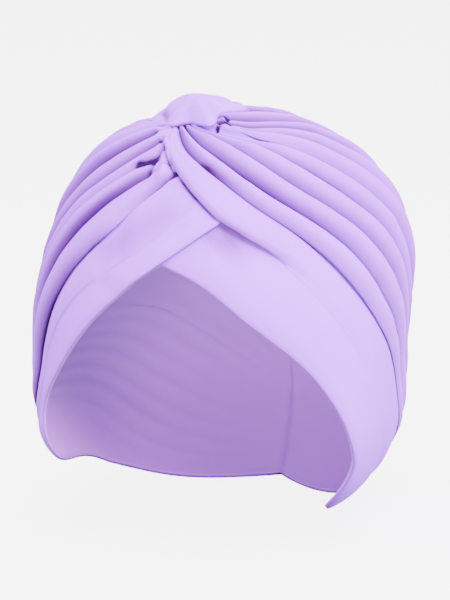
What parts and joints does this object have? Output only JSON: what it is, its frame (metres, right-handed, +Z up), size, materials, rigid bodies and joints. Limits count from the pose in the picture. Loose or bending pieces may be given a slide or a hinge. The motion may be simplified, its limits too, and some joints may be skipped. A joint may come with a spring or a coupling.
{
  "type": "turban",
  "caption": "Stretch-cloth turban with pleated wraps that cross at the forehead, twist under a small cloth loop and close at the nape; hollow for a head, open at the face.",
  "frame": {"origin": "centre of the head that wears the turban, which is the mount named head", "axes": "+Z up towards the crown, -Y towards the face opening, +X towards the wearer's left"},
  "size_m": [0.1726, 0.1955, 0.1935],
  "materials": {
    "knit_cloth": "matte"
  },
  "bodies": {
    "root": {"left_wrap": "knit_cloth", "right_wrap": "knit_cloth", "twist_loop": "knit_cloth"}
  },
  "joints": []
}
